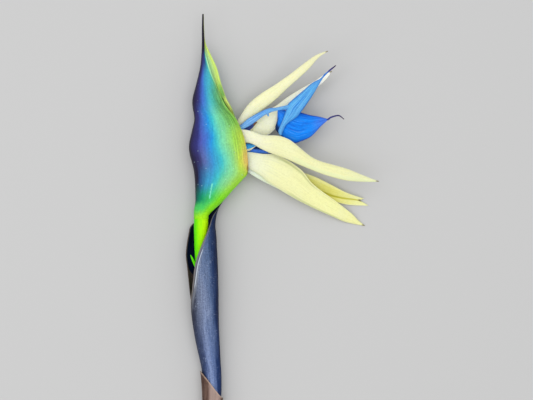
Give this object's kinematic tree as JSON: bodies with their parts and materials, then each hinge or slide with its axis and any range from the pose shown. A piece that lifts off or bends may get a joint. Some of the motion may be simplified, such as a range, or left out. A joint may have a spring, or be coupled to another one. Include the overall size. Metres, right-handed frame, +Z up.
{
  "type": "bird of paradise flower",
  "caption": "Cut bird of paradise flower lying on its side: sheathed stalk, beaked spathe, cream sepals and blue arrow petals.",
  "frame": {"origin": "centre of the flower's outline on the surface that it lies on", "axes": "+Y along the stem towards the beak of the spathe, +X towards the opened flowers, +Z up from the surface"},
  "size_m": [0.1545, 0.341, 0.0358],
  "materials": {
    "stalk_skin": "smooth waxy lime-green stalk skin",
    "upper_sheath_skin": "speckled blue-grey leaf sheath with a grey-brown rim, almost black inside",
    "lower_sheath_skin": "brown leaf sheath with a pale dry rim",
    "spathe_skin": "waxy bract that runs from black-violet keel through blue and turquoise to lime edge",
    "flower_base_skin": "pale green seed case",
    "sepal_skin": "soft cream sepal with fine lengthwise veins",
    "light_petal_skin": "light blue petal with darker streaks",
    "deep_petal_skin": "deep blue petal with a violet edge",
    "style_skin": "dark indigo thread-like style"
  },
  "bodies": {
    "root": {"flower_stalk": "stalk_skin", "upper_sheath": "upper_sheath_skin", "lower_sheath": "lower_sheath_skin", "spathe": "spathe_skin", "flower_base_upper": "flower_base_skin", "flower_base_lower": "flower_base_skin", "sepal_upper_outer": "sepal_skin", "sepal_upper_back": "sepal_skin", "sepal_upper_front": "sepal_skin", "sepal_lower_front": "sepal_skin", "sepal_lower_back": "sepal_skin", "sepal_lower_inner": "sepal_skin", "arrow_petal_upper": "light_petal_skin", "arrow_petal_lower": "deep_petal_skin", "small_petal_upper": "deep_petal_skin", "small_petal_lower": "deep_petal_skin", "style_upper": "style_skin", "style_lower": "style_skin"}
  },
  "joints": []
}
